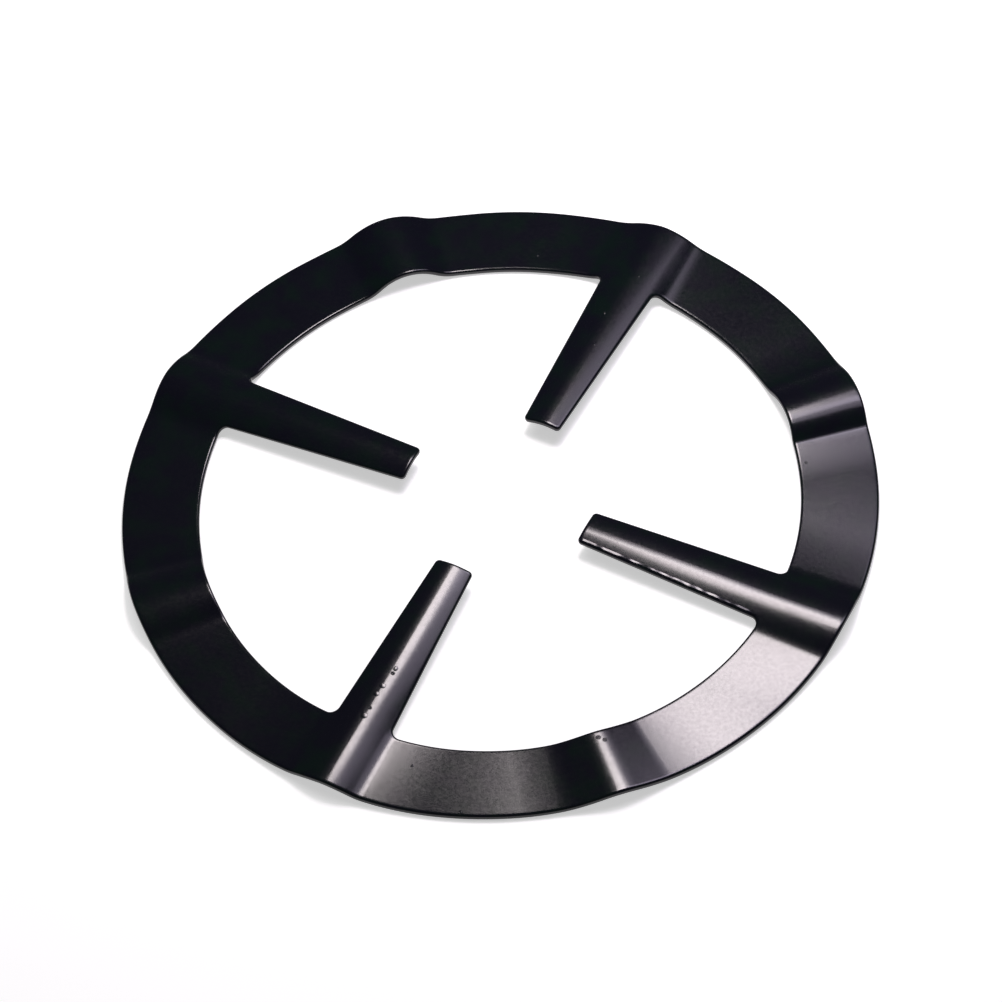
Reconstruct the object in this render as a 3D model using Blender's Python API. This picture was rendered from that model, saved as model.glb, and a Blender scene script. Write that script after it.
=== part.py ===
"""Gas hob reducer ring: one pressed and enamelled steel sheet.

A flat ring carries four fingers that reach in towards the burner, and a rounded ridge is
pressed along each finger and across the ring midway between them. The blank is drawn for half
of one finger's share of the ring, mirrored and turned round the ring, and made into a flat
sheet with rounded edges. It is then cut along its bend lines, and the ridges rise over them.

Metres, +Z up. The origin is the centre of the ring, on the surface that it rests on, and +X
runs along a finger.
"""

import math
from dataclasses import dataclass, replace

import bmesh
import bpy
from mathutils import Matrix, Vector

# The ring
OUTER_RADIUS = 0.0700
RING_WIDTH = 0.0144
SHEET_THICKNESS = 0.0012
EDGE_ROUND = 0.00045

# The fingers
FINGER_COUNT = 4
TIP_RADIUS = 0.0176
TIP_WIDTH = 0.0076
ROOT_WIDTH = 0.0113
TIP_CORNER_RADIUS = 0.0006
ROOT_FILLET_RADIUS = 0.0015

# The ridge along each finger: its crest's height, then its section outward from the crest
FINGER_RIDGE_RIM_HEIGHT = 0.00222
FINGER_RIDGE_TIP_HEIGHT = 0.00307
FINGER_RIDGE_CREST_WIDTH = 0.0013
FINGER_RIDGE_FLANK_WIDTH = 0.0045
FINGER_RIDGE_FOOT_WIDTH = 0.0019
FINGER_RIDGE_TOE_WIDTH = 0.0120
FINGER_RIDGE_CREST_SLOPE = math.radians(7.3)
FINGER_RIDGE_FOOT_SLOPE = math.radians(4.4)
FINGER_RIDGE_BORE_SHARE = 1.0
FINGER_RIDGE_DRAW = 0.10

# The plain ridge between two fingers, in the same order
PLAIN_RIDGE_RIM_HEIGHT = 0.00260
PLAIN_RIDGE_BORE_HEIGHT = 0.00236
PLAIN_RIDGE_CREST_WIDTH = 0.0029
PLAIN_RIDGE_FLANK_WIDTH = 0.0040
PLAIN_RIDGE_FOOT_WIDTH = 0.0014
PLAIN_RIDGE_TOE_WIDTH = 0.0090
PLAIN_RIDGE_CREST_SLOPE = math.radians(11.6)
PLAIN_RIDGE_FOOT_SLOPE = math.radians(4.3)
PLAIN_RIDGE_BORE_SHARE = 0.855
PLAIN_RIDGE_DRAW = 0.15

# Fineness of the faceted surface: facets over half a finger, lengths along a finger, and facets
# over each stretch of a ridge's section
HALF_FINGER_FACETS = 3
FINGER_LENGTHS = 5
FINGER_RIDGE_FACETS = (0, 0, 2, 3)
PLAIN_RIDGE_FACETS = (2, 2, 2, 3)
RIM_FACET = math.radians(3.0)
CORNER_FACET = math.radians(15.0)
EDGE_SEGMENTS = 2
SHARP_ANGLE = math.radians(35.0)
SLOPE_STEP = 0.00001
WELD_DISTANCE = 0.000001

# Sizes that follow
BORE_RADIUS = OUTER_RADIUS - RING_WIDTH
ROOT_REACH = math.sqrt(BORE_RADIUS**2 - (ROOT_WIDTH / 2.0) ** 2)
HALF_PITCH = math.pi / FINGER_COUNT
ZONE_LIMIT = HALF_PITCH / 2.0
FINGER_END_RADIUS = BORE_RADIUS - ROOT_FILLET_RADIUS
CORNER_LIMIT = math.radians(60.0)
ORIGIN = Vector((0.0, 0.0, 0.0))
SIDEWAYS = Vector((0.0, 1.0, 0.0))
UPWARD = Vector((0.0, 0.0, 1.0))

ENAMEL_COLOUR = (0.006, 0.0065, 0.008, 1.0)
ENAMEL_ROUGHNESS = 0.25


def polar(radius: float, angle: float) -> Vector:
    """Return the point in the plane at a radius and an angle from +X."""
    return Vector((radius * math.cos(angle), radius * math.sin(angle), 0.0))


def direction_angle(direction: Vector) -> float:
    """Return a direction's angle from +X."""
    return math.atan2(direction.y, direction.x)


@dataclass(frozen=True)
class Ridge:
    """A pressed ridge along one radius, with the same section on both sides of its crest.

    From the crest line outward the section has a rounded crest and a flank, over which its
    slope grows evenly, a foot in which the slope falls quickly, and a toe that dies out in the
    flat. The flank's greatest slope follows from the ridge's height.

    Attributes:
        angle: Direction of the ridge's crest line, from +X.
        end_radius: Distance from the centre to the ridge's inner end.
        rim_height: Height of the crest above the flats, at the outer rim.
        end_height: The same at the inner end.
        widths: Widths of the crest's half, the flank, the foot and the toe, at the outer rim.
        crest_slope: Slope where the crest meets the flank.
        foot_slope: Slope where the foot meets the toe.
        bore_share: Size of the widths at the bore, as a share of those at the outer rim.
        draw: How far a raised point moves outward along the ridge, for each unit of its rise.
        facets: Number of facets in each of the four widths.
    """

    angle: float
    end_radius: float
    rim_height: float
    end_height: float
    widths: tuple[float, float, float, float]
    crest_slope: float
    foot_slope: float
    bore_share: float
    draw: float
    facets: tuple[int, int, int, int]

    def crest_height(self, radius: float) -> float:
        """Return the height of the crest at a distance from the ring's centre."""
        share = (OUTER_RADIUS - radius) / (OUTER_RADIUS - self.end_radius)
        return self.rim_height + (self.end_height - self.rim_height) * share

    def scale(self, along: float) -> float:
        """Return the size of the widths at a distance along the ridge, as a share."""
        return 1.0 + (self.bore_share - 1.0) * (OUTER_RADIUS - along) / RING_WIDTH

    def drop(self, height: float, scale: float, across: float) -> float:
        """Return how far a section of a given height and size has come down from its crest."""
        crest, flank, foot, toe = [scale * width for width in self.widths]
        known = self.crest_slope * (crest + flank) + self.foot_slope * (foot + toe)
        steepest = (2.0 * height - known) / (flank + foot)
        slopes = (0.0, self.crest_slope, steepest, self.foot_slope, 0.0)
        start = 0.0
        total = 0.0
        for number, width in enumerate((crest, flank, foot, toe)):
            reach = min(max(across - start, 0.0), width)
            bend = (slopes[number + 1] - slopes[number]) / width
            total += slopes[number] * reach + bend * reach**2 / 2.0
            start += width
        return total

    def rise(self, along: float, across: float) -> float:
        """Return the height of the pressed surface above the flats.

        Inside the bore the section keeps its form, and only its crest rises on.
        """
        radius = math.hypot(along, across)
        section_height = self.crest_height(max(radius, BORE_RADIUS))
        drop = self.drop(section_height, self.scale(along), abs(across))
        return self.crest_height(radius) - drop

    def bend_distances(self) -> list[float]:
        """Return how far the bend lines lie from the crest line, at the outer rim."""
        distances = []
        start = 0.0
        for width, count in zip(self.widths, self.facets):
            distances += [start + width * step / count for step in range(count)]
            start += width
        return [distance for distance in distances if distance > 0.0] + [start]

    def reaches(self, point: Vector) -> bool:
        """Return whether a point lies nearer to this ridge than to its neighbours."""
        turned = Matrix.Rotation(-self.angle, 3, "Z") @ point
        return abs(direction_angle(turned)) < ZONE_LIMIT

    def normal(self, along: float, across: float) -> Vector:
        """Return the pressed surface's normal, in the directions along, across and up."""
        ahead = self.rise(along + SLOPE_STEP, across) - self.rise(along - SLOPE_STEP, across)
        aside = self.rise(along, across + SLOPE_STEP) - self.rise(along, across - SLOPE_STEP)
        return Vector((-ahead, -aside, 2.0 * SLOPE_STEP)).normalized()

    def pressed(self, point: Vector) -> Vector:
        """Return where pressing takes a point of the flat sheet.

        The sheet's underside follows the pressed surface, and every other point keeps its
        distance from the underside.
        """
        turn = Matrix.Rotation(self.angle, 3, "Z")
        along, across, depth = turn.inverted() @ point
        rise = self.rise(along, across)
        underside = Vector((along + self.draw * rise, across, rise))
        return turn @ (underside + depth * self.normal(along, across))


FINGER_RIDGE = Ridge(
    angle=0.0,
    end_radius=TIP_RADIUS,
    rim_height=FINGER_RIDGE_RIM_HEIGHT,
    end_height=FINGER_RIDGE_TIP_HEIGHT,
    widths=(
        FINGER_RIDGE_CREST_WIDTH,
        FINGER_RIDGE_FLANK_WIDTH,
        FINGER_RIDGE_FOOT_WIDTH,
        FINGER_RIDGE_TOE_WIDTH,
    ),
    crest_slope=FINGER_RIDGE_CREST_SLOPE,
    foot_slope=FINGER_RIDGE_FOOT_SLOPE,
    bore_share=FINGER_RIDGE_BORE_SHARE,
    draw=FINGER_RIDGE_DRAW,
    facets=FINGER_RIDGE_FACETS,
)

PLAIN_RIDGE = Ridge(
    angle=HALF_PITCH,
    end_radius=BORE_RADIUS,
    rim_height=PLAIN_RIDGE_RIM_HEIGHT,
    end_height=PLAIN_RIDGE_BORE_HEIGHT,
    widths=(
        PLAIN_RIDGE_CREST_WIDTH,
        PLAIN_RIDGE_FLANK_WIDTH,
        PLAIN_RIDGE_FOOT_WIDTH,
        PLAIN_RIDGE_TOE_WIDTH,
    ),
    crest_slope=PLAIN_RIDGE_CREST_SLOPE,
    foot_slope=PLAIN_RIDGE_FOOT_SLOPE,
    bore_share=PLAIN_RIDGE_BORE_SHARE,
    draw=PLAIN_RIDGE_DRAW,
    facets=PLAIN_RIDGE_FACETS,
)


def remove_old_objects() -> None:
    """Empty the scene."""
    for old in list(bpy.data.objects):
        bpy.data.objects.remove(old, do_unlink=True)


def arc(centre: Vector, radius: float, start: float, end: float, facet: float) -> list[Vector]:
    """Return points on an arc, both ends included, with facets no wider than the given turn."""
    steps = max(1, math.ceil(abs(end - start) / facet))
    angles = [start + (end - start) * step / steps for step in range(steps + 1)]
    return [centre + polar(radius, angle) for angle in angles]


def finger_side_points() -> list[Vector]:
    """Return the half finger's edge, from its square tip round the corner to the bore's arc.

    The tip's corner is an arc inside the finger. The root's fillet touches the finger's side
    and the bore, so its centre lies one radius off the side and one radius inside the bore.
    """
    tip = Vector((TIP_RADIUS, TIP_WIDTH / 2.0, 0.0))
    root = Vector((ROOT_REACH, ROOT_WIDTH / 2.0, 0.0))
    side = (root - tip).normalized()
    outward = Vector((-side.y, side.x, 0.0))

    drop = TIP_CORNER_RADIUS * (1.0 + outward.x) / outward.y
    corner_centre = tip + Vector((TIP_CORNER_RADIUS, -drop, 0.0))
    corner = arc(
        corner_centre, TIP_CORNER_RADIUS, math.pi, direction_angle(outward), CORNER_FACET
    )

    start = tip + outward * ROOT_FILLET_RADIUS
    centre_reach = BORE_RADIUS - ROOT_FILLET_RADIUS
    lean = start.dot(side)
    along = -lean + math.sqrt(lean**2 - start.length_squared + centre_reach**2)
    fillet_centre = start + side * along
    fillet = arc(
        fillet_centre,
        ROOT_FILLET_RADIUS,
        direction_angle(-outward),
        direction_angle(fillet_centre),
        CORNER_FACET,
    )
    return corner + fillet


def half_blank_outline() -> list[Vector]:
    """Return the flat outline between a finger's centre line and a plain ridge's."""
    tip_centre = Vector((TIP_RADIUS, 0.0, 0.0))
    finger = finger_side_points()
    bore_start = direction_angle(finger[-1])
    bore = arc(ORIGIN, BORE_RADIUS, bore_start, HALF_PITCH, RIM_FACET)
    rim = arc(ORIGIN, OUTER_RADIUS, HALF_PITCH, 0.0, RIM_FACET)
    return [tip_centre] + finger + bore[1:] + rim


def flat_sheet() -> bmesh.types.BMesh:
    """Return the whole flat sheet, with rounded edges on both faces."""
    bm = bmesh.new()
    corners = [bm.verts.new(point) for point in half_blank_outline()]
    outline = [bm.edges.new(pair) for pair in zip(corners, corners[1:] + corners[:1])]
    bmesh.ops.contextual_create(bm, geom=outline)
    half = bm.verts[:] + bm.edges[:] + bm.faces[:]
    bmesh.ops.mirror(bm, geom=half, matrix=Matrix.Identity(4), merge_dist=WELD_DISTANCE, axis="Y")
    share = bm.verts[:] + bm.edges[:] + bm.faces[:]
    copies = FINGER_COUNT - 1
    bmesh.ops.spin(
        bm,
        geom=share,
        cent=ORIGIN,
        axis=UPWARD,
        angle=2.0 * HALF_PITCH * copies,
        steps=copies,
        use_duplicate=True,
    )
    bmesh.ops.remove_doubles(bm, verts=bm.verts[:], dist=WELD_DISTANCE)

    grown = bmesh.ops.extrude_face_region(bm, geom=bm.faces[:])
    upper = [item for item in grown["geom"] if isinstance(item, bmesh.types.BMVert)]
    bmesh.ops.translate(bm, verts=upper, vec=UPWARD * SHEET_THICKNESS)
    bmesh.ops.recalc_face_normals(bm, faces=bm.faces[:])
    bmesh.ops.bevel(
        bm,
        geom=[edge for edge in bm.edges if edge.calc_face_angle() > CORNER_LIMIT],
        offset=EDGE_ROUND,
        offset_type="OFFSET",
        affect="EDGES",
        segments=EDGE_SEGMENTS,
        profile=0.5,
        material=-1,
    )
    return bm


def cut_along(bm: bmesh.types.BMesh, faces: list, point: Vector, direction: Vector) -> None:
    """Cut faces of the sheet with an upright plane through a line."""
    edges = {edge for face in faces for edge in face.edges}
    corners = {corner for face in faces for corner in face.verts}
    bmesh.ops.bisect_plane(
        bm,
        geom=list(corners) + list(edges) + list(faces),
        dist=WELD_DISTANCE,
        plane_co=point,
        plane_no=Vector((-direction.y, direction.x, 0.0)),
    )


def faces_of_zone(bm: bmesh.types.BMesh, ridge: Ridge) -> list:
    """Return the faces of the sheet that lie nearer to a ridge than to its neighbours."""
    return [face for face in bm.faces if ridge.reaches(face.calc_center_median())]


def cut_finger(bm: bmesh.types.BMesh, ridge: Ridge) -> None:
    """Cut a finger lengthwise, along lines that fan out with its sides, and into lengths."""
    turn = Matrix.Rotation(ridge.angle, 3, "Z")
    for step in range(1 - HALF_FINGER_FACETS, HALF_FINGER_FACETS):
        share = step / HALF_FINGER_FACETS
        tip = turn @ Vector((TIP_RADIUS, share * TIP_WIDTH / 2.0, 0.0))
        root = turn @ Vector((ROOT_REACH, share * ROOT_WIDTH / 2.0, 0.0))
        cut_along(bm, faces_of_zone(bm, ridge), tip, (root - tip).normalized())
    for step in range(1, FINGER_LENGTHS):
        radius = TIP_RADIUS + (FINGER_END_RADIUS - TIP_RADIUS) * step / FINGER_LENGTHS
        cut_along(bm, faces_of_zone(bm, ridge), polar(radius, ridge.angle), turn @ SIDEWAYS)


def cut_bend_lines(bm: bmesh.types.BMesh, ridge: Ridge) -> None:
    """Cut the sheet along a ridge's bend lines, on both sides of its crest."""
    turn = Matrix.Rotation(ridge.angle, 3, "Z")
    distances = ridge.bend_distances()
    for distance in distances + [-distance for distance in distances]:
        bore = turn @ Vector((BORE_RADIUS, distance * ridge.bore_share, 0.0))
        rim = turn @ Vector((OUTER_RADIUS, distance, 0.0))
        cut_along(bm, faces_of_zone(bm, ridge), bore, (rim - bore).normalized())


def press_ridge(bm: bmesh.types.BMesh, ridge: Ridge) -> None:
    """Press one ridge into the sheet."""
    for vertex in bm.verts:
        if ridge.reaches(vertex.co):
            vertex.co = ridge.pressed(vertex.co)


def pressed_sheet() -> bpy.types.Mesh:
    """Return the finished sheet, with all its ridges."""
    bm = flat_sheet()
    turns = [2.0 * HALF_PITCH * number for number in range(FINGER_COUNT)]
    finger_ridges = [replace(FINGER_RIDGE, angle=turn) for turn in turns]
    plain_ridges = [replace(PLAIN_RIDGE, angle=HALF_PITCH + turn) for turn in turns]
    for ridge in finger_ridges + plain_ridges:
        cut_along(bm, bm.faces[:], ORIGIN, polar(1.0, ridge.angle + ZONE_LIMIT))
    for ridge in finger_ridges:
        cut_finger(bm, ridge)
    for ridge in finger_ridges + plain_ridges:
        cut_bend_lines(bm, ridge)
    for ridge in finger_ridges + plain_ridges:
        press_ridge(bm, ridge)
    bmesh.ops.triangulate(bm, faces=[face for face in bm.faces if len(face.verts) > 4])

    mesh = bpy.data.meshes.new("reducer_ring")
    bm.to_mesh(mesh)
    bm.free()
    return mesh


def enamel_material() -> bpy.types.Material:
    """Return the black vitreous enamel."""
    material = bpy.data.materials.new("black_enamel")
    material.use_nodes = True
    shader = material.node_tree.nodes["Principled BSDF"]
    shader.inputs["Base Color"].default_value = ENAMEL_COLOUR
    shader.inputs["Metallic"].default_value = 0.0
    shader.inputs["Roughness"].default_value = ENAMEL_ROUGHNESS
    return material


def reducer_ring(collection: bpy.types.Collection) -> bpy.types.Object:
    """Return the finished ring."""
    ring = bpy.data.objects.new("reducer_ring", pressed_sheet())
    collection.objects.link(ring)
    ring.data.materials.append(enamel_material())
    ring.data.shade_smooth()
    ring.data.set_sharp_from_angle(angle=SHARP_ANGLE)
    return ring


def main() -> None:
    """Build the ring in a collection of its own."""
    remove_old_objects()
    collection = bpy.data.collections.new("gas_hob_reducer_ring")
    bpy.context.scene.collection.children.link(collection)
    reducer_ring(collection)


main()
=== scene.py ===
"""Looks of the gas hob reducer ring: one pressed sheet in black vitreous enamel.

The ring is modelled again on the part's own sizes with a finer surface, and with each ridge as
it came out of the press, so that the ridges mirror the studio. Metres, +Z up, +X along one finger.
"""

import logging
import math
from dataclasses import dataclass, field
from enum import Enum

import bmesh
import bpy
from mathutils import Matrix, Vector, noise


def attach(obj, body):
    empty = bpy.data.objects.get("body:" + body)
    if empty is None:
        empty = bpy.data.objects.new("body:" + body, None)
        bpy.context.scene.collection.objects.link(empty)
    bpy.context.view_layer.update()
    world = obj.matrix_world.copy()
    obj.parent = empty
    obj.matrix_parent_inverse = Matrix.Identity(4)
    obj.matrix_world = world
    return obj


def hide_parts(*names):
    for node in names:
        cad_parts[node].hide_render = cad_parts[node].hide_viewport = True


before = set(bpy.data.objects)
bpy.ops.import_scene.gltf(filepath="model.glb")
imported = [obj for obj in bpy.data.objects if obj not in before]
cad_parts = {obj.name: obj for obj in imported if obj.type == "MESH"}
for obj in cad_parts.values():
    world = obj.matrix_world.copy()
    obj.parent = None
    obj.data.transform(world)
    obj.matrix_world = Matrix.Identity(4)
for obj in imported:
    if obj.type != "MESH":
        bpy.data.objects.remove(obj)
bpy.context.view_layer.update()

LOG = logging.getLogger("reducer_ring")
ORIGIN = Vector((0.0, 0.0, 0.0))
SIDEWAYS = Vector((0.0, 1.0, 0.0))
UPWARD = Vector((0.0, 0.0, 1.0))

# Points nearer to each other than this are one point
WELD_DISTANCE = 0.000001

# Half the length over which a slope is measured
SLOPE_STEP = 0.00001

# Least upright part of a level face's normal
LEVEL_NORMAL = 0.9999


class RidgeKind(Enum):
    """Where a ridge is pressed."""

    FINGER = "along a finger"
    PLAIN = "across the ring, between two fingers"


def polar(radius: float, angle: float) -> Vector:
    """Return the point in the plane at a radius, and at an angle from +X in radians."""
    return Vector((radius * math.cos(angle), radius * math.sin(angle), 0.0))


def direction_angle(direction: Vector) -> float:
    """Return a direction's angle from +X, in radians."""
    return math.atan2(direction.y, direction.x)


def turn_between(angle: float, start: float) -> float:
    """Return the signed turn from one angle to another, between minus and plus half a turn."""
    return (angle - start + math.pi) % (2.0 * math.pi) - math.pi


def arc(centre: Vector, radius: float, start: float, end: float, facet: float) -> list[Vector]:
    """Return points on an arc, both ends included.

    Args:
        centre: Centre of the arc.
        radius: Radius of the arc, in metres.
        start: Angle of the first point, in radians.
        end: Angle of the last point, in radians.
        facet: Widest turn between two points, in radians.

    Returns:
        The points in order.
    """
    steps = max(1, math.ceil(abs(end - start) / facet))
    angles = [start + (end - start) * step / steps for step in range(steps + 1)]
    return [centre + polar(radius, angle) for angle in angles]


def finished_mesh(bm: bmesh.types.BMesh, name: str) -> bpy.types.Mesh:
    """Return a bmesh as a mesh, and free it.

    Args:
        bm: The bmesh.
        name: Name of the mesh.

    Returns:
        The mesh.
    """
    mesh = bpy.data.meshes.new(name)
    bm.to_mesh(mesh)
    bm.free()
    return mesh


def scene_object(name: str, data: bpy.types.ID) -> bpy.types.Object:
    """Return a new object, linked to the scene.

    Args:
        name: Name of the object.
        data: What it shows: a mesh, a light or a camera.

    Returns:
        The object, at the origin.
    """
    made = bpy.data.objects.new(name, data)
    bpy.context.scene.collection.objects.link(made)
    return made


def enamelled_piece(mesh: bpy.types.Mesh, glaze: bpy.types.Material) -> bpy.types.Object:
    """Return a mesh as an enamelled piece that rides on the frame in place of the plain solid.

    Args:
        mesh: The mesh, which also gives the piece its name.
        glaze: The enamel.

    Returns:
        The piece.
    """
    piece = scene_object(mesh.name, mesh)
    mesh.materials.append(glaze)
    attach(piece, "root")
    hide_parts("reducer_ring")
    return piece


@dataclass(frozen=True)
class RidgeSide:
    """One side of a pressed ridge's section, from its crest line outward.

    The slope grows evenly over the crest and the flank, falls quickly in the foot and dies out
    along the toe. The flank's greatest slope follows from the ridge's height.

    Attributes:
        widths: Widths of the crest's half, the flank, the foot and the toe, at the outer rim.
        crest_slope: Slope where the crest meets the flank.
        foot_slope: Slope where the foot meets the toe.
    """

    widths: tuple[float, float, float, float]
    crest_slope: float
    foot_slope: float

    def bend_distances(self, facets: tuple[int, int, int, int]) -> list[float]:
        """Return where the bend lines lie, as distances from the crest line at the rim.

        Args:
            facets: Number of facets in each of the four widths.

        Returns:
            The distances, outward to the toe's end and without the crest line itself.
        """
        distances = []
        start = 0.0
        for width, count in zip(self.widths, facets):
            distances += [start + width * step / count for step in range(count)]
            start += width
        return [distance for distance in distances if distance > 0.0] + [start]

    def drop(self, height: float, scale: float, across: float) -> float:
        """Return how far the section has come down from its crest.

        Args:
            height: Height of the crest above the flats.
            scale: Size of the section's widths, as a share of those at the rim.
            across: Distance from the crest line.

        Returns:
            The drop, which reaches the height where the toe ends.
        """
        crest, flank, foot, toe = [scale * width for width in self.widths]
        known = self.crest_slope * (crest + flank) + self.foot_slope * (foot + toe)
        steepest = (2.0 * height - known) / (flank + foot)
        slopes = (0.0, self.crest_slope, steepest, self.foot_slope, 0.0)
        start = 0.0
        total = 0.0
        for number, width in enumerate((crest, flank, foot, toe)):
            reach = min(max(across - start, 0.0), width)
            bend = (slopes[number + 1] - slopes[number]) / width
            total += slopes[number] * reach + bend * reach**2 / 2.0
            start += width
        return total


FINGER_SIDE = RidgeSide((0.0013, 0.0049, 0.0034, 0.0100), math.radians(7.3), math.radians(4.0))
PLAIN_SIDE = RidgeSide((0.0029, 0.0042, 0.0032, 0.0070), math.radians(11.6), math.radians(4.0))


@dataclass(frozen=True)
class Pressing:
    """How one ridge came out of the press.

    Attributes:
        rim_height: Height of its crest at the outer rim.
        bore_height: Height of its crest at the bore.
        shift: How far its crest line lies off its direction, towards larger angles.
        left: Its section on the side of larger angles.
        right: Its section on the side of smaller angles.
        bore_share: Size of its section's widths at the bore, as a share of those at the rim.
        tip_height: Height of its crest at a finger's end, where it runs along a finger.
        tip_share: Size of its section's widths there, as a share of those at the bore.
    """

    rim_height: float
    bore_height: float
    shift: float
    left: RidgeSide
    right: RidgeSide
    bore_share: float
    tip_height: float = 0.0
    tip_share: float = 1.0


@dataclass(frozen=True)
class Ridge:
    """One ridge in its place on the ring.

    Attributes:
        kind: Where the ridge is pressed.
        pressing: How it came out of the press.
        angle: Direction of the ridge from +X, in radians.
        outer_radius: Outer radius of the ring.
        bore_radius: Radius of the bore.
        end_radius: From the centre to the ridge's inner end.
        sheet_thickness: Thickness of the sheet.
        draw: How far a raised point moves outward, for each unit of its rise.
        facets: Number of facets in each of the section's four widths.
    """

    kind: RidgeKind
    pressing: Pressing
    angle: float
    outer_radius: float
    bore_radius: float
    end_radius: float
    sheet_thickness: float
    draw: float
    facets: tuple[int, int, int, int]

    @property
    def turn(self) -> Matrix:
        """Turn that takes +X to the ridge's direction."""
        return Matrix.Rotation(self.angle, 3, "Z")

    def side(self, offset: float) -> RidgeSide:
        """Return the section on the side where a distance from the crest line lies."""
        return self.pressing.left if offset > 0.0 else self.pressing.right

    def graded(self, reach: float, at_rim: float, at_bore: float, at_tip: float) -> float:
        """Return a value that changes evenly from the rim to the bore and on to a finger's end.

        Args:
            reach: Where the value is wanted, from the ring's centre.
            at_rim: The value at the rim.
            at_bore: The value at the bore.
            at_tip: The value at a finger's end.

        Returns:
            The value, which inside the bore stays the same on a ridge that crosses the ring.
        """
        if reach > self.bore_radius:
            share = (self.outer_radius - reach) / (self.outer_radius - self.bore_radius)
            return at_rim + (at_bore - at_rim) * share
        if self.kind is RidgeKind.PLAIN:
            return at_bore
        share = (self.bore_radius - reach) / (self.bore_radius - self.end_radius)
        return at_bore + (at_tip - at_bore) * share

    def crest_height(self, radius: float) -> float:
        """Return the height of the crest at a distance from the ring's centre."""
        made = self.pressing
        return self.graded(radius, made.rim_height, made.bore_height, made.tip_height)

    def scale(self, along: float) -> float:
        """Return the size of the section's widths, as a share of those at the rim."""
        made = self.pressing
        return self.graded(along, 1.0, made.bore_share, made.bore_share * made.tip_share)

    def rise(self, along: float, across: float) -> float:
        """Return the height of the pressed surface above the flats.

        Args:
            along: Distance from the ring's centre, along the ridge.
            across: Distance from the ridge's direction, towards larger angles.

        Returns:
            The height, in metres. Inside the bore the section keeps its form and only its
            crest rises on.
        """
        offset = across - self.pressing.shift
        radius = math.hypot(along, across)
        section_height = self.crest_height(max(radius, self.bore_radius))
        drop = self.side(offset).drop(section_height, self.scale(along), abs(offset))
        return self.crest_height(radius) - drop

    def bend_places(self) -> list[float]:
        """Return where the bend lines cross the rim, as distances from the crest line.

        Returns:
            The distances, signed. A finger's crest line isn't one of them, because the lines
            that fan out with the finger's sides hold it.
        """
        places = [0.0] if self.kind is RidgeKind.PLAIN else []
        places += self.pressing.left.bend_distances(self.facets)
        places += [-distance for distance in self.pressing.right.bend_distances(self.facets)]
        return places

    def normal(self, along: float, across: float) -> Vector:
        """Return the pressed surface's normal.

        Args:
            along: Distance from the ring's centre, along the ridge.
            across: Distance from the ridge's direction, towards larger angles.

        Returns:
            The normal, in the directions along, across and up.
        """
        ahead = self.rise(along + SLOPE_STEP, across) - self.rise(along - SLOPE_STEP, across)
        aside = self.rise(along, across + SLOPE_STEP) - self.rise(along, across - SLOPE_STEP)
        return Vector((-ahead, -aside, 2.0 * SLOPE_STEP)).normalized()

    def upper_face(self, along: float, across: float) -> Matrix:
        """Return a place on the upper face, with its third axis square to the face.

        Args:
            along: Distance from the ring's centre along the ridge, before pressing.
            across: Distance from the ridge's direction, towards larger angles.

        Returns:
            The place, as a matrix that moves a shape from the origin to it.
        """
        turn = self.turn
        place = self.pressed(turn @ Vector((along, across, self.sheet_thickness)))
        upright = self.normal(along, across)
        ahead = SIDEWAYS.cross(upright).normalized()
        axes = Matrix((ahead, upright.cross(ahead), upright)).transposed()
        return Matrix.Translation(place) @ (turn @ axes).to_4x4()

    def pressed(self, point: Vector) -> Vector:
        """Return where pressing takes a point of the flat sheet.

        Args:
            point: The point, at its height above the sheet's underside.

        Returns:
            The point, still as far from the upper face, which follows the pressed surface.
        """
        turn = self.turn
        along, across, height = turn.inverted() @ point
        rise = self.rise(along, across)
        upper = Vector((along + self.draw * rise, across, rise + self.sheet_thickness))
        depth = self.sheet_thickness - height
        return turn @ (upper - depth * self.normal(along, across))


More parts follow.
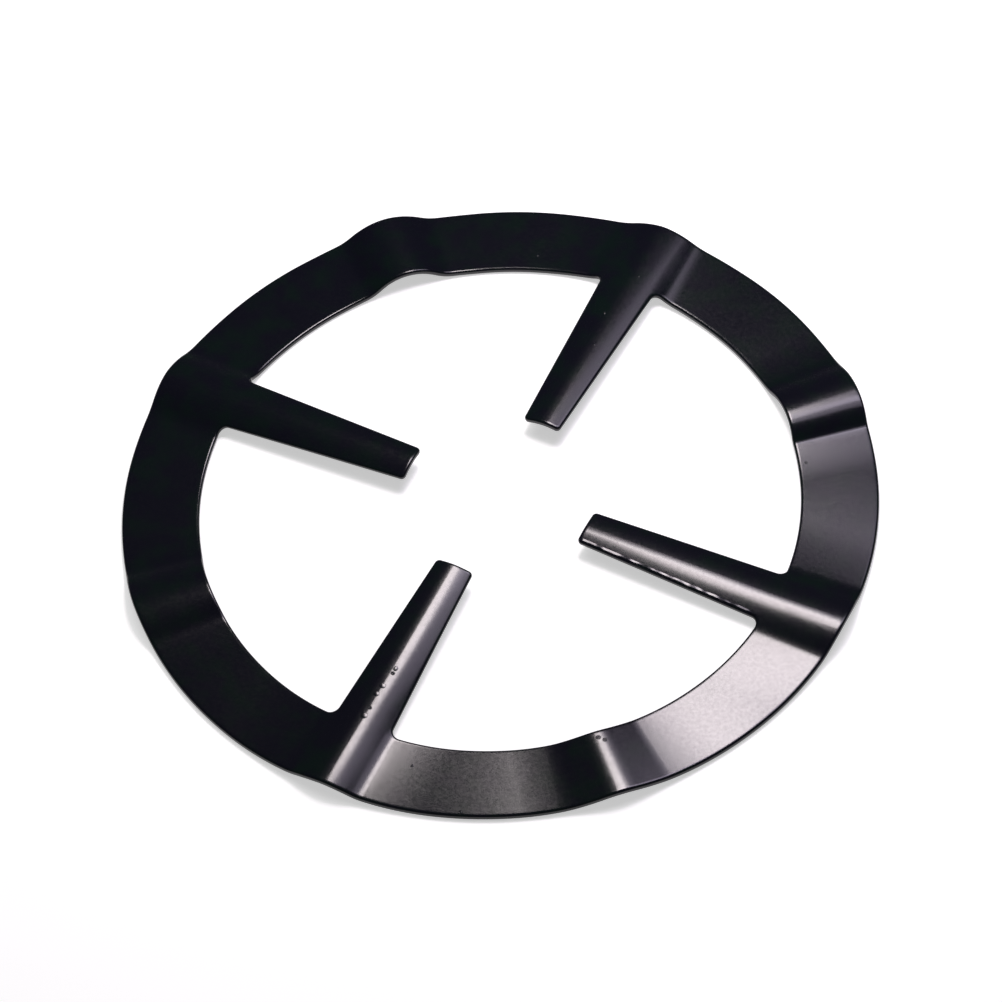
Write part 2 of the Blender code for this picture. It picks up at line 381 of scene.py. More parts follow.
@dataclass(frozen=True)
class BlackEnamel:
    """Glossy black vitreous enamel on steel.

    Attributes:
        refraction: Index of refraction of the glaze.
        glaze: Linear colour of the glaze.
        green: Linear colour of its faint greenish clouds.
        cloud_levels: Levels of their noise where the glaze's colour ends and the green is full.
        cloud_scale: Clouds of colour, in a metre.
        cloud_detail: Finer layers of the clouds.
        smooth: Least roughness of the fired surface.
        rough: Greatest roughness of its grain.
        grain_levels: Levels of the grain's noise that give the least and greatest roughness.
        grain_scale: Grains, in a metre.
        peel_scale: Waves of the orange peel, in a metre.
        peel_height: Height of the orange peel, in metres.
        fine_detail: Finer layers of the grain and of the orange peel.
    """

    refraction: float = 1.5
    glaze: tuple[float, float, float] = (0.0022, 0.0024, 0.0075)
    green: tuple[float, float, float] = (0.0012, 0.0062, 0.0058)
    cloud_levels: tuple[float, float] = (0.42, 0.66)
    cloud_scale: float = 210.0
    cloud_detail: float = 4.0
    smooth: float = 0.150
    rough: float = 0.190
    grain_levels: tuple[float, float] = (0.3, 0.7)
    grain_scale: float = 1500.0
    peel_scale: float = 420.0
    peel_height: float = 0.000002
    fine_detail: float = 2.0

    def material(self) -> bpy.types.Material:
        """Return the enamel as a node-based material.

        Returns:
            The material, named as its slot.
        """
        material = bpy.data.materials.new("black_enamel")
        material.use_nodes = True
        tree = material.node_tree
        shader = tree.nodes["Principled BSDF"]
        shader.inputs["IOR"].default_value = self.refraction

        colours = tree.nodes.new("ShaderNodeValToRGB")
        stops = colours.color_ramp.elements
        for stop, level, colour in zip(stops, self.cloud_levels, (self.glaze, self.green)):
            stop.position = level
            stop.color = (*colour, 1.0)
        self.drive_by_noise(tree, colours.inputs["Fac"], self.cloud_scale, self.cloud_detail)
        tree.links.new(colours.outputs["Color"], shader.inputs["Base Color"])

        spread = tree.nodes.new("ShaderNodeMapRange")
        spread.inputs["From Min"].default_value = self.grain_levels[0]
        spread.inputs["From Max"].default_value = self.grain_levels[1]
        spread.inputs["To Min"].default_value = self.smooth
        spread.inputs["To Max"].default_value = self.rough
        self.drive_by_noise(tree, spread.inputs["Value"], self.grain_scale, self.fine_detail)
        tree.links.new(spread.outputs["Result"], shader.inputs["Roughness"])

        bump = tree.nodes.new("ShaderNodeBump")
        bump.inputs["Strength"].default_value = 1.0
        bump.inputs["Distance"].default_value = self.peel_height
        self.drive_by_noise(tree, bump.inputs["Height"], self.peel_scale, self.fine_detail)
        tree.links.new(bump.outputs["Normal"], shader.inputs["Normal"])
        return material

    def drive_by_noise(
        self, tree: bpy.types.NodeTree, target: bpy.types.NodeSocket, scale: float, detail: float
    ) -> None:
        """Drive a socket by the level of a new noise on Object coordinates.

        Args:
            tree: The material's nodes and links.
            target: The socket.
            scale: Features of the noise, in a metre.
            detail: Number of its finer layers.
        """
        place = tree.nodes.new("ShaderNodeTexCoord")
        level = tree.nodes.new("ShaderNodeTexNoise")
        level.inputs["Scale"].default_value = scale
        level.inputs["Detail"].default_value = detail
        tree.links.new(place.outputs["Object"], level.inputs["Vector"])
        tree.links.new(level.outputs["Fac"], target)


@dataclass
class PressedRing:
    """The ring with its fingers and ridges, as one enamelled sheet.

    Attributes:
        outer_radius: Outer radius of the ring.
        ring_width: From the outer rim to the bore.
        sheet_thickness: Thickness of the sheet with its enamel.
        edge_round: Radius of the enamelled edges.
        finger_count: Number of fingers.
        tip_radius: From the centre to a finger's square end.
        tip_width: Width of a finger at its end.
        root_width: Width of a finger at the bore.
        tip_corner_radius: Radius of a finger's end corners.
        root_fillet_radius: Radius between a finger and the bore.
        corner_facet: Widest turn between two points of these two arcs, in radians.
        ring_facet: Widest turn between two points of the rim or the bore, in radians.
        edge_turn: Least turn between two faces whose edge is rounded, in radians.
        edge_segments: Number of facets over an edge's rounding.
        roll_widths: Widths of the steps in which the faces roll down towards the rounding.
        roll_thinnings: How much thinner each step leaves what lies outside it, as a share.
        finger_facets: Number of facets over half a finger.
        longest_facet: Greatest length of a facet along a ridge.
        finger_draw: How far a finger's ridge draws the sheet outward, for each unit of its rise.
        finger_bends: Number of facets in each width of such a ridge's section. The flank has
            none, because the lines that fan out with the finger's sides cut it.
        plain_draw: The draw of a ridge between two fingers.
        plain_bends: Its number of facets in each width.
        pressings: How each ridge came out, starting from the finger along +X.
        finish: The enamel.
    """

    outer_radius: float = 0.0700
    ring_width: float = 0.0144
    sheet_thickness: float = 0.0012
    edge_round: float = 0.00045
    finger_count: int = 4
    tip_radius: float = 0.0176
    tip_width: float = 0.0076
    root_width: float = 0.0113
    tip_corner_radius: float = 0.0009
    root_fillet_radius: float = 0.0015
    corner_facet: float = math.radians(9.0)
    ring_facet: float = math.radians(1.0)
    edge_turn: float = math.radians(60.0)
    edge_segments: int = 4
    roll_widths: tuple[float, ...] = (0.00007, 0.00010, 0.00009, 0.00008)
    roll_thinnings: tuple[float, ...] = (0.008, 0.009, 0.006, 0.0)
    finger_facets: int = 6
    longest_facet: float = 0.0050
    finger_draw: float = 0.09
    finger_bends: tuple[int, int, int, int] = (2, 0, 6, 8)
    plain_draw: float = 0.15
    plain_bends: tuple[int, int, int, int] = (5, 5, 6, 8)
    pressings: tuple[Pressing, ...] = (
        Pressing(
            rim_height=0.00236,
            bore_height=0.00199,
            shift=-0.00067,
            left=RidgeSide(
                widths=(0.00140, 0.00484, 0.00344, 0.01160),
                crest_slope=math.radians(5.4),
                foot_slope=math.radians(3.1),
            ),
            right=RidgeSide(
                widths=(0.00136, 0.00443, 0.00270, 0.01328),
                crest_slope=math.radians(7.8),
                foot_slope=math.radians(4.9),
            ),
            bore_share=0.954,
            tip_height=0.00268,
            tip_share=1.045,
        ),
        Pressing(
            rim_height=0.00267,
            bore_height=0.00230,
            shift=-0.00070,
            left=RidgeSide(
                widths=(0.00319, 0.00366, 0.00376, 0.00723),
                crest_slope=math.radians(10.1),
                foot_slope=math.radians(4.4),
            ),
            right=RidgeSide(
                widths=(0.00275, 0.00386, 0.00151, 0.00967),
                crest_slope=math.radians(10.4),
                foot_slope=math.radians(4.6),
            ),
            bore_share=0.851,
        ),
        Pressing(
            rim_height=0.00245,
            bore_height=0.00262,
            shift=-0.00051,
            left=FINGER_SIDE,
            right=FINGER_SIDE,
            bore_share=1.0,
            tip_height=0.00305,
        ),
        Pressing(
            rim_height=0.00290,
            bore_height=0.00268,
            shift=-0.00055,
            left=PLAIN_SIDE,
            right=PLAIN_SIDE,
            bore_share=0.855,
        ),
        Pressing(
            rim_height=0.00262,
            bore_height=0.00277,
            shift=-0.00055,
            left=FINGER_SIDE,
            right=FINGER_SIDE,
            bore_share=1.0,
            tip_height=0.00305,
        ),
        Pressing(
            rim_height=0.00260,
            bore_height=0.00236,
            shift=-0.00061,
            left=PLAIN_SIDE,
            right=PLAIN_SIDE,
            bore_share=0.855,
        ),
        Pressing(
            rim_height=0.00220,
            bore_height=0.00221,
            shift=-0.00069,
            left=RidgeSide(
                widths=(0.00137, 0.00394, 0.00252, 0.01170),
                crest_slope=math.radians(8.5),
                foot_slope=math.radians(4.5),
            ),
            right=RidgeSide(
                widths=(0.00123, 0.00458, 0.00195, 0.01400),
                crest_slope=math.radians(7.5),
                foot_slope=math.radians(5.6),
            ),
            bore_share=0.954,
            tip_height=0.00305,
            tip_share=1.064,
        ),
        Pressing(
            rim_height=0.00182,
            bore_height=0.00153,
            shift=-0.00084,
            left=RidgeSide(
                widths=(0.00317, 0.00520, 0.00177, 0.01286),
                crest_slope=math.radians(10.35),
                foot_slope=math.radians(4.15),
            ),
            right=RidgeSide(
                widths=(0.00292, 0.00424, 0.00443, 0.00760),
                crest_slope=math.radians(11.25),
                foot_slope=math.radians(2.75),
            ),
            bore_share=0.803,
        ),
    )
    finish: BlackEnamel = field(default_factory=BlackEnamel)

    @property
    def bore_radius(self) -> float:
        """Radius of the bore."""
        return self.outer_radius - self.ring_width

    @property
    def half_pitch(self) -> float:
        """Angle between a finger and the next plain ridge, in radians."""
        return math.pi / self.finger_count

    @property
    def zone_limit(self) -> float:
        """Angle between a ridge's centre line and the edge of its share of the ring."""
        return self.half_pitch / 2.0

    @property
    def root_reach(self) -> float:
        """From the centre to a finger's root, along the finger."""
        return math.sqrt(self.bore_radius**2 - (self.root_width / 2.0) ** 2)

    def finger_half_width(self, along: float) -> float:
        """Return half a finger's width at a distance from the centre."""
        share = (along - self.tip_radius) / (self.root_reach - self.tip_radius)
        return (self.tip_width + (self.root_width - self.tip_width) * share) / 2.0

    def ridges(self) -> list[Ridge]:
        """Return every ridge in its place.

        Returns:
            The ridges, by turns on a finger and between two, starting along +X.
        """
        placed = []
        for step, pressing in enumerate(self.pressings):
            on_finger = step % 2 == 0
            placed.append(
                Ridge(
                    kind=RidgeKind.FINGER if on_finger else RidgeKind.PLAIN,
                    pressing=pressing,
                    angle=step * self.half_pitch,
                    outer_radius=self.outer_radius,
                    bore_radius=self.bore_radius,
                    end_radius=self.tip_radius if on_finger else self.bore_radius,
                    sheet_thickness=self.sheet_thickness,
                    draw=self.finger_draw if on_finger else self.plain_draw,
                    facets=self.finger_bends if on_finger else self.plain_bends,
                )
            )
        return placed

    def finger_side_points(self) -> list[Vector]:
        """Return the half finger's edge, from its square tip round to the bore's arc.

        The tip's corner is an arc inside the finger. The root's fillet touches the finger's
        side and the bore, so its centre lies one radius off the side and inside the bore.

        Returns:
            The points in order.
        """
        tip = Vector((self.tip_radius, self.tip_width / 2.0, 0.0))
        root = Vector((self.root_reach, self.root_width / 2.0, 0.0))
        side = (root - tip).normalized()
        outward = Vector((-side.y, side.x, 0.0))

        drop = self.tip_corner_radius * (1.0 + outward.x) / outward.y
        corner_centre = tip + Vector((self.tip_corner_radius, -drop, 0.0))
        corner_end = direction_angle(outward)
        corner = arc(corner_centre, self.tip_corner_radius, math.pi, corner_end, self.corner_facet)

        start = tip + outward * self.root_fillet_radius
        lean = start.dot(side)
        reach = self.bore_radius - self.root_fillet_radius
        along = -lean + math.sqrt(lean**2 - start.length_squared + reach**2)
        centre = start + side * along
        fillet_start = direction_angle(-outward)
        fillet_end = direction_angle(centre)
        fillet = arc(centre, self.root_fillet_radius, fillet_start, fillet_end, self.corner_facet)
        return corner + fillet

    def half_blank_outline(self) -> list[Vector]:
        """Return the flat outline between a finger's centre line and a plain ridge's.

        Returns:
            The corners, round from the middle of the finger's end.
        """
        finger = self.finger_side_points()
        bore_start = direction_angle(finger[-1])
        bore = arc(ORIGIN, self.bore_radius, bore_start, self.half_pitch, self.ring_facet)
        rim = arc(ORIGIN, self.outer_radius, self.half_pitch, 0.0, self.ring_facet)
        return [Vector((self.tip_radius, 0.0, 0.0))] + finger + bore[1:] + rim

    def flat_sheet(self) -> bmesh.types.BMesh:
        """Return the whole flat sheet, with rounded edges and a narrow border along them.

        Returns:
            The sheet, as a new bmesh with its underside at height zero.
        """
        bm = bmesh.new()
        corners = [bm.verts.new(point) for point in self.half_blank_outline()]
        outline = [bm.edges.new(pair) for pair in zip(corners, corners[1:] + corners[:1])]
        bmesh.ops.contextual_create(bm, geom=outline)
        half = bm.verts[:] + bm.edges[:] + bm.faces[:]
        unturned = Matrix.Identity(4)
        bmesh.ops.mirror(bm, geom=half, matrix=unturned, merge_dist=WELD_DISTANCE, axis="Y")
        share = bm.verts[:] + bm.edges[:] + bm.faces[:]
        copies = self.finger_count - 1
        bmesh.ops.spin(
            bm,
            geom=share,
            cent=ORIGIN,
            axis=UPWARD,
            angle=2.0 * self.half_pitch * copies,
            steps=copies,
            use_duplicate=True,
        )
        bmesh.ops.remove_doubles(bm, verts=bm.verts[:], dist=WELD_DISTANCE)
        grown = bmesh.ops.extrude_face_region(bm, geom=bm.faces[:])
        upper = [item for item in grown["geom"] if isinstance(item, bmesh.types.BMVert)]
        bmesh.ops.translate(bm, verts=upper, vec=UPWARD * self.sheet_thickness)
        bmesh.ops.recalc_face_normals(bm, faces=bm.faces[:])
        bmesh.ops.bevel(
            bm,
            geom=[edge for edge in bm.edges if edge.calc_face_angle() > self.edge_turn],
            offset=self.edge_round,
            offset_type="OFFSET",
            affect="EDGES",
            segments=self.edge_segments,
            profile=0.5,
            material=-1,
        )
        self.roll_border(bm)
        return bm

    def roll_border(self, bm: bmesh.types.BMesh) -> None:
        """Roll both faces of the flat sheet down gently towards its rounded edges.

        Each step insets the level faces and thins what lies outside them.

        Args:
            bm: The flat sheet, with rounded edges.
        """
        middle = Vector((0.0, 0.0, self.sheet_thickness / 2.0))
        for width, thinning in zip(self.roll_widths, self.roll_thinnings):
            level = [face for face in bm.faces if abs(face.normal.z) > LEVEL_NORMAL]
            bmesh.ops.inset_region(bm, faces=level, thickness=width, use_even_offset=True)
            corners = {corner for face in level for corner in face.verts}
            bmesh.ops.scale(
                bm,
                verts=[vertex for vertex in bm.verts if vertex not in corners],
                vec=Vector((1.0, 1.0, 1.0 - thinning)),
                space=Matrix.Translation(-middle),
            )
            bm.normal_update()

    def zone_faces(self, bm: bmesh.types.BMesh, ridge: Ridge) -> list[bmesh.types.BMFace]:
        """Return the faces that lie nearer to a ridge than to the others.

        Args:
            bm: The flat sheet.
            ridge: The ridge.

        Returns:
            The faces whose middle lies in the ridge's share of the ring.
        """
        near = []
        for face in bm.faces:
            turn = turn_between(direction_angle(face.calc_center_median()), ridge.angle)
            if abs(turn) < self.zone_limit:
                near.append(face)
        return near

    def cut_line(
        self,
        bm: bmesh.types.BMesh,
        faces: list[bmesh.types.BMFace],
        point: Vector,
        direction: Vector,
    ) -> None:
        """Cut faces with an upright plane through a line.

        Args:
            bm: The flat sheet.
            faces: The faces to cut.
            point: A point on the line.
            direction: The line's direction.
        """
        edges = {edge for face in faces for edge in face.edges}
        corners = {corner for face in faces for corner in face.verts}
        bmesh.ops.bisect_plane(
            bm,
            geom=list(corners) + list(edges) + list(faces),
            dist=WELD_DISTANCE,
            plane_co=point,
            plane_no=Vector((-direction.y, direction.x, 0.0)),
        )

    def cut_finger(self, bm: bmesh.types.BMesh, ridge: Ridge) -> None:
        """Cut a finger along lines that fan out from its crest with its sides.

        Args:
            bm: The flat sheet.
            ridge: The finger's ridge.
        """
        for step in range(1 - self.finger_facets, self.finger_facets):
            share = step / self.finger_facets
            middle = ridge.pressing.shift * (1.0 - abs(share))
            tip = Vector((self.tip_radius, middle + share * self.tip_width / 2.0, 0.0))
            root = Vector((self.root_reach, middle + share * self.root_width / 2.0, 0.0))
            direction = ridge.turn @ (root - tip)
            self.cut_line(bm, self.zone_faces(bm, ridge), ridge.turn @ tip, direction)

    def cut_bends(self, bm: bmesh.types.BMesh, ridge: Ridge) -> None:
        """Cut the sheet along a ridge's bend lines, and into lengths.

        Args:
            bm: The flat sheet.
            ridge: The ridge.
        """
        turn = ridge.turn
        shift = ridge.pressing.shift
        for place in ridge.bend_places():
            bore = Vector((self.bore_radius, shift + place * ridge.pressing.bore_share, 0.0))
            rim = Vector((self.outer_radius, shift + place, 0.0))
            self.cut_line(bm, self.zone_faces(bm, ridge), turn @ bore, turn @ (rim - bore))
        lengths = math.ceil((self.outer_radius - ridge.end_radius) / self.longest_facet)
        for step in range(1, lengths):
            share = step / lengths
            reach = ridge.end_radius + (self.outer_radius - ridge.end_radius) * share
            across = polar(reach, ridge.angle)
            self.cut_line(bm, self.zone_faces(bm, ridge), across, turn @ SIDEWAYS)

    def pressed_sheet(self) -> bpy.types.Mesh:
        """Return the sheet with all its ridges pressed.

        Returns:
            The mesh, smoothly shaded.
        """
        bm = self.flat_sheet()
        ridges = self.ridges()
        for ridge in ridges:
            self.cut_line(bm, bm.faces[:], ORIGIN, polar(1.0, ridge.angle + self.zone_limit))
        for ridge in ridges:
            if ridge.kind is RidgeKind.FINGER:
                self.cut_finger(bm, ridge)
            self.cut_bends(bm, ridge)
        for vertex in bm.verts:
            angle = direction_angle(vertex.co)
            ridge = min(ridges, key=lambda each: abs(turn_between(angle, each.angle)))
            vertex.co = ridge.pressed(vertex.co)
        bmesh.ops.triangulate(bm, faces=[face for face in bm.faces if len(face.verts) > 4])
        mesh = finished_mesh(bm, "enamelled_ring")
        mesh.shade_smooth()
        return mesh

    def build(self) -> bpy.types.Object:
        """Return the finished ring as a piece."""
        return enamelled_piece(self.pressed_sheet(), self.finish.material())


class BubbleKind(Enum):
    """State of a bubble in the glaze."""

    WHOLE = "a low dome"
    BURST = "a small pit with a raised lip"


# Half sections, outward from the middle, as shares of a bubble's radius and of its height
BUBBLE_SECTIONS = {
    BubbleKind.WHOLE: ((0.0, 1.0), (0.35, 0.88), (0.65, 0.55), (0.88, 0.18), (1.0, 0.0)),
    BubbleKind.BURST: ((0.0, 0.05), (0.28, 0.10), (0.45, 0.80), (0.58, 1.0), (0.80, 0.6), (1.0, 0.0)),
}


@dataclass(frozen=True)
class Bubble:
    """A bubble that firing left in the glaze.

    Attributes:
        kind: Whether it is whole or burst.
        ridge: Number of the ridge beside it, counted from the finger along +X.
        along: Distance from the ring's centre along that ridge.
        across: Distance from the ridge's direction, towards larger angles.
        radius: Its radius.
        height: Height of its dome or lip.
        stretch: Its length across the ridge, as a share of its length along it.
        depth: How far it reaches down into the glaze, as a share of its radius.
    """

    kind: BubbleKind
    ridge: int
    along: float
    across: float
    radius: float
    height: float
    stretch: float = 1.0
    depth: float = 0.25

    def profile(self) -> list[Vector]:
        """Return half its section.

        Returns:
            The points, from its middle out and back under the glaze.
        """
        shares = BUBBLE_SECTIONS[self.kind]
        points = [Vector((out * self.radius, 0.0, up * self.height)) for out, up in shares]
        under = -self.depth * self.radius
        return points + [Vector((self.radius, 0.0, under)), Vector((0.0, 0.0, under))]


@dataclass(frozen=True)
class EdgeBead:
    """The uneven bead of glaze along one side of a finger.

    Attributes:
        start: Where it starts, from the ring's centre.
        end: Where it ends.
        stations: Number of its lengths.
        insets: Distances of its section's points from the finger's edge.
        heights: Heights of those points above the sheet, as shares of the bead's.
        start_height: Height of the bead at its start.
        end_height: Its height at its end, where the finger's side is steeper.
        waves: Swellings, in a metre.
        unevenness: How far its height swells, as a share.
        wander: How far it wanders from its line.
        wander_seed: Where that wandering is taken from the noise.
        depth: How far it reaches down into the glaze.
    """

    start: float = 0.0186
    end: float = 0.0543
    stations: int = 130
    insets: tuple[float, ...] = (0.00104, 0.00098, 0.00062, 0.00054, 0.00030)
    heights: tuple[float, ...] = (-0.4, 0.0, 1.0, 0.95, -0.4)
    start_height: float = 0.000050
    end_height: float = 0.000095
    waves: float = 520.0
    unevenness: float = 0.75
    wander: float = 0.00012
    wander_seed: float = 5.5
    depth: float = 0.0003


@dataclass
class GlazeFlaws:
    """The bubbles and the bead that firing left in the glaze.

    Attributes:
        bubbles: The bubbles.
        bubble_facets: Number of facets round a bubble.
        bead: The bead along the near side of the finger on +X.
    """

    bubbles: tuple[Bubble, ...] = (
        Bubble(
            BubbleKind.WHOLE,
            ridge=6,
            along=0.0427,
            across=0.0005,
            radius=0.00055,
            height=0.00004,
            stretch=0.8,
        ),
        Bubble(BubbleKind.BURST, ridge=6, along=0.0438, across=0.0005, radius=0.00042, height=0.00010),
        Bubble(BubbleKind.WHOLE, ridge=6, along=0.0470, across=0.0000, radius=0.00060, height=0.00004),
        Bubble(BubbleKind.WHOLE, ridge=6, along=0.0490, across=-0.0002, radius=0.00055, height=0.00004),
        Bubble(BubbleKind.BURST, ridge=6, along=0.0522, across=0.0001, radius=0.00040, height=0.00010),
        Bubble(BubbleKind.WHOLE, ridge=6, along=0.0541, across=-0.0001, radius=0.00065, height=0.00004),
        Bubble(BubbleKind.BURST, ridge=7, along=0.0573, across=-0.0006, radius=0.00048, height=0.00007),
        Bubble(BubbleKind.BURST, ridge=7, along=0.0582, across=0.0003, radius=0.00044, height=0.00007),
        Bubble(BubbleKind.WHOLE, ridge=2, along=0.0461, across=0.0007, radius=0.00035, height=0.00008),
        Bubble(BubbleKind.WHOLE, ridge=2, along=0.0384, across=-0.0010, radius=0.00035, height=0.00008),
        Bubble(BubbleKind.WHOLE, ridge=2, along=0.0568, across=-0.0015, radius=0.00025, height=0.00006),
        Bubble(BubbleKind.WHOLE, ridge=2, along=0.0558, across=0.0195, radius=0.00025, height=0.00006),
        Bubble(BubbleKind.WHOLE, ridge=1, along=0.0559, across=-0.0120, radius=0.00030, height=0.00007),
        Bubble(BubbleKind.WHOLE, ridge=6, along=0.0594, across=0.0120, radius=0.00030, height=0.00007),
        Bubble(BubbleKind.BURST, ridge=6, along=0.0648, across=0.0243, radius=0.00045, height=0.00012),
    )
    bubble_facets: int = 20
    bead: EdgeBead = field(default_factory=EdgeBead)

    def bubble_mesh(self, ridges: list[Ridge]) -> bpy.types.Mesh:
        """Return all the bubbles, each turned from its section on the upper face.

        Args:
            ridges: The ring's ridges.

        Returns:
            The mesh, smoothly shaded.
        """
        bm = bmesh.new()
        for bubble in self.bubbles:
            older = set(bm.verts)
            corners = [bm.verts.new(point) for point in bubble.profile()]
            section = [bm.edges.new(pair) for pair in zip(corners, corners[1:])]
            bmesh.ops.spin(
                bm,
                geom=corners + section,
                cent=ORIGIN,
                axis=UPWARD,
                angle=2.0 * math.pi,
                steps=self.bubble_facets,
                use_merge=True,
            )
            turned = [vertex for vertex in bm.verts if vertex not in older]
            bmesh.ops.remove_doubles(bm, verts=turned, dist=WELD_DISTANCE)
            turned = [vertex for vertex in bm.verts if vertex not in older]
            shape = Matrix.Diagonal(Vector((1.0, bubble.stretch, 1.0, 1.0)))
            place = ridges[bubble.ridge].upper_face(bubble.along, bubble.across)
            bmesh.ops.transform(bm, matrix=place @ shape, verts=turned)
        bmesh.ops.recalc_face_normals(bm, faces=bm.faces[:])
        mesh = finished_mesh(bm, "glaze_bubbles")
        mesh.shade_smooth()
        return mesh

    def bead_mesh(self, ring: PressedRing, ridge: Ridge) -> bpy.types.Mesh:
        """Return the bead, raised from a narrow grid along the finger's side.

        Args:
            ring: The ring.
            ridge: The ridge on the finger.

        Returns:
            The mesh.
        """
        bead = self.bead
        steps = len(bead.insets) - 1
        half_grid = 0.5
        bm = bmesh.new()
        bmesh.ops.create_grid(bm, x_segments=bead.stations, y_segments=steps, size=half_grid)
        for vertex in bm.verts:
            share = vertex.co.x + half_grid
            along = bead.start + (bead.end - bead.start) * share
            height = bead.start_height + (bead.end_height - bead.start_height) * share
            number = round((vertex.co.y + half_grid) * steps)
            wave = along * bead.waves
            swell = 1.0 + bead.unevenness * noise.noise(Vector((wave, 0.0, 0.0)))
            aside = bead.wander * noise.noise(Vector((wave, number, bead.wander_seed)))
            across = bead.insets[number] + aside - ring.finger_half_width(along)
            place = ridge.upper_face(along, across)
            vertex.co = place @ (UPWARD * bead.heights[number] * height * swell)
        grown = bmesh.ops.extrude_face_region(bm, geom=bm.faces[:])
        lower = [item for item in grown["geom"] if isinstance(item, bmesh.types.BMVert)]
        bmesh.ops.translate(bm, verts=lower, vec=-UPWARD * bead.depth)
        bmesh.ops.recalc_face_normals(bm, faces=bm.faces[:])
        return finished_mesh(bm, "finger_edge_bead")

    def build(self, ring: PressedRing, glaze: bpy.types.Material) -> list[bpy.types.Object]:
        """Return the flaws as pieces that ride on the frame with the ring.

        Args:
            ring: The ring that carries them.
            glaze: The ring's enamel.

        Returns:
            The pieces.
        """
        ridges = ring.ridges()
        meshes = (self.bubble_mesh(ridges), self.bead_mesh(ring, ridges[0]))
        return [enamelled_piece(mesh, glaze) for mesh in meshes]


@dataclass(frozen=True)
class PhotoCamera:
    """The camera, at the photograph's viewing angle.

    Attributes:
        distance: From the camera to the ring's centre, in metres.
        elevation: Height of the camera above the horizon, in radians.
        turn: Turn of the view from +Y towards -X, in radians.
        roll: Turn about the viewing direction, in radians.
        offset_right: How far the ring's centre lies right of the frame's centre, in metres.
        offset_up: How far it lies above the frame's centre, in metres.
        lens: Focal length, in millimetres.
        sensor_width: Width of the sensor, in millimetres.
        clip_start: Nearest distance that it shows, in metres.
        clip_end: Farthest distance that it shows, in metres.
    """

    distance: float = 1.0979
    elevation: float = math.radians(52.694)
    turn: float = math.radians(30.834)
    roll: float = math.radians(5.643)
    offset_right: float = -0.000245
    offset_up: float = -0.000939
    lens: float = 213.49
    sensor_width: float = 36.0
    clip_start: float = 0.05
    clip_end: float = 20.0

    def build(self) -> bpy.types.Object:
        """Return the camera, set as the scene's camera.

        Returns:
            The camera's object.
        """
        turn = Matrix.Rotation(-self.turn, 3, "Z")
        tilt = Matrix.Rotation(self.elevation - math.pi / 2.0, 3, "X")
        lean = Matrix.Rotation(self.roll, 3, "Z")
        axes = (lean @ tilt @ turn).transposed()
        place = axes @ Vector((-self.offset_right, -self.offset_up, self.distance))
        data = bpy.data.cameras.new("camera")
        data.lens = self.lens
        data.sensor_width = self.sensor_width
        data.clip_start = self.clip_start
        data.clip_end = self.clip_end
        camera = scene_object("camera", data)
        camera.matrix_world = Matrix.Translation(place) @ axes.to_4x4()
        bpy.context.scene.camera = camera
        return camera


@dataclass(frozen=True)
class PaleFloor:
    """A plain pale floor under the ring.

    Attributes:
        size: Length of its side, in metres.
        colour: Linear grey of its paint.
        lift: Light it adds where it is seen, so that it shows white.
        gap: How far it lies under the ring, so that their faces don't share a plane.
    """

    size: float = 6.0
    colour: float = 0.90
    lift: float = 0.52
    gap: float = 0.00001

    def build(self) -> bpy.types.Object:
        """Return the floor.

        Returns:
            The floor's object.
        """
        bm = bmesh.new()
        bmesh.ops.create_grid(bm, x_segments=1, y_segments=1, size=self.size / 2.0)
        bmesh.ops.translate(bm, verts=bm.verts[:], vec=-UPWARD * self.gap)
        floor = scene_object("floor", finished_mesh(bm, "floor"))
        floor.data.materials.append(self.material())
        return floor

    def material(self) -> bpy.types.Material:
        """Return the floor's matt white, which keeps the ring's shadow.

        Returns:
            The material. It glows only where camera, glossy or transmission rays meet it.
        """
        material = bpy.data.materials.new("pale_floor")
        material.use_nodes = True
        nodes = material.node_tree.nodes
        links = material.node_tree.links
        nodes.clear()
        output = nodes.new("ShaderNodeOutputMaterial")
        paint = nodes.new("ShaderNodeBsdfDiffuse")
        paint.inputs["Color"].default_value = (self.colour, self.colour, self.colour, 1.0)
        glow = nodes.new("ShaderNodeEmission")
        path = nodes.new("ShaderNodeLightPath")
        seen = path.outputs["Is Camera Ray"]
        for ray in ("Is Glossy Ray", "Is Transmission Ray"):
            either = nodes.new("ShaderNodeMath")
            either.operation = "MAXIMUM"
            links.new(seen, either.inputs[0])
            links.new(path.outputs[ray], either.inputs[1])
            seen = either.outputs["Value"]
        strength = nodes.new("ShaderNodeMath")
        strength.operation = "MULTIPLY"
        strength.inputs[1].default_value = self.lift
        links.new(seen, strength.inputs[0])
        links.new(strength.outputs["Value"], glow.inputs["Strength"])
        both = nodes.new("ShaderNodeAddShader")
        links.new(paint.outputs["BSDF"], both.inputs[0])
        links.new(glow.outputs["Emission"], both.inputs[1])
        links.new(both.outputs["Shader"], output.inputs["Surface"])
        return material


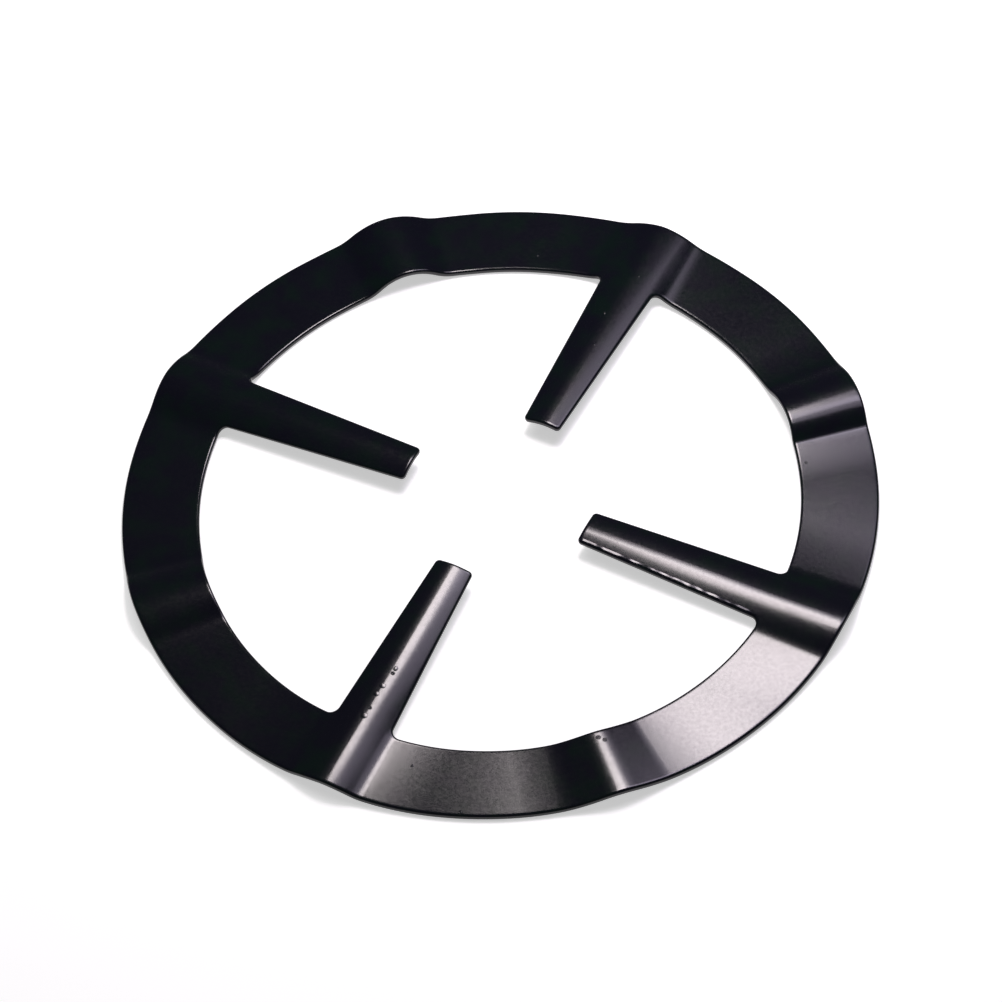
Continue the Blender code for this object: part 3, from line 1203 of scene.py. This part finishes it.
@dataclass(frozen=True)
class Softbox:
    """A rectangular studio light.

    Attributes:
        name: Its name.
        place: Its centre's distances right of the ring, behind it and above it, as the camera
            sees it, in metres.
        tilt: Turn of its face from straight down towards the ring's far side, in radians.
        width: Its width, in metres.
        depth: Its other side's length, in metres.
        brightness: Its radiance.
        tint: Linear colour of its light.
        mirrored: Whether glossy surfaces mirror it.
    """

    name: str
    place: tuple[float, float, float]
    tilt: float
    width: float
    depth: float
    brightness: float
    tint: tuple[float, float, float] = (1.0, 1.0, 1.0)
    mirrored: bool = True

    def build(self, turn: float) -> bpy.types.Object:
        """Return the light.

        Args:
            turn: The camera's turn about the ring, in radians.

        Returns:
            The light's object, in the scene.
        """
        data = bpy.data.lights.new(self.name, "AREA")
        data.shape = "RECTANGLE"
        data.size = self.width
        data.size_y = self.depth
        data.energy = self.brightness * math.pi * self.width * self.depth
        data.color = self.tint
        light = scene_object(self.name, data)
        light.visible_glossy = self.mirrored
        about = Matrix.Rotation(turn, 4, "Z")
        place = Matrix.Translation(Vector(self.place))
        light.matrix_world = about @ place @ Matrix.Rotation(self.tilt, 4, "X")
        return light


@dataclass
class Studio:
    """The floor, the lights and the camera.

    Attributes:
        camera: The camera.
        floor: The floor.
        lights: The softboxes.
        ambient: Linear grey of the room's own light.
    """

    camera: PhotoCamera = field(default_factory=PhotoCamera)
    floor: PaleFloor = field(default_factory=PaleFloor)
    lights: tuple[Softbox, ...] = (
        Softbox(
            name="key",
            place=(0.0379, 0.1344, 0.2952),
            tilt=0.0,
            width=0.0598,
            depth=0.1089,
            brightness=20.4,
            tint=(1.0, 0.91, 0.925),
        ),
        Softbox(
            name="beside_key",
            place=(0.1199, 0.1266, 0.2952),
            tilt=0.0,
            width=0.0930,
            depth=0.0517,
            brightness=4.5,
            tint=(1.0, 0.91, 1.14),
        ),
        Softbox(
            name="beside_key_skirt",
            place=(0.1199, 0.1266, 0.2951),
            tilt=0.0,
            width=0.1730,
            depth=0.1717,
            brightness=2.1,
            tint=(1.0, 0.89, 1.14),
        ),
        Softbox(
            name="fill",
            place=(0.0, 0.55, 0.95),
            tilt=math.radians(-30.0),
            width=1.0,
            depth=1.0,
            brightness=1.5,
            mirrored=False,
        ),
    )
    ambient: float = 0.06

    def build(self) -> None:
        """Set up the floor, the camera, the lights and the room."""
        self.floor.build()
        self.camera.build()
        for softbox in self.lights:
            softbox.build(self.camera.turn)
        world = bpy.data.worlds.new("room")
        world.use_nodes = True
        background = world.node_tree.nodes["Background"]
        background.inputs["Color"].default_value = (1.0, 1.0, 1.0, 1.0)
        background.inputs["Strength"].default_value = self.ambient
        bpy.context.scene.world = world
        bpy.context.scene.view_settings.view_transform = "Standard"


def main() -> None:
    """Build the ring and its studio, and report each piece."""
    logging.basicConfig(level=logging.INFO, format="%(message)s")
    pressed_ring = PressedRing()
    ring = pressed_ring.build()
    pieces = [ring] + GlazeFlaws().build(pressed_ring, ring.data.materials[0])
    for piece in pieces:
        LOG.info("%s: %d faces", piece.name, len(piece.data.polygons))
    Studio().build()


if __name__ == "__main__":
    main()
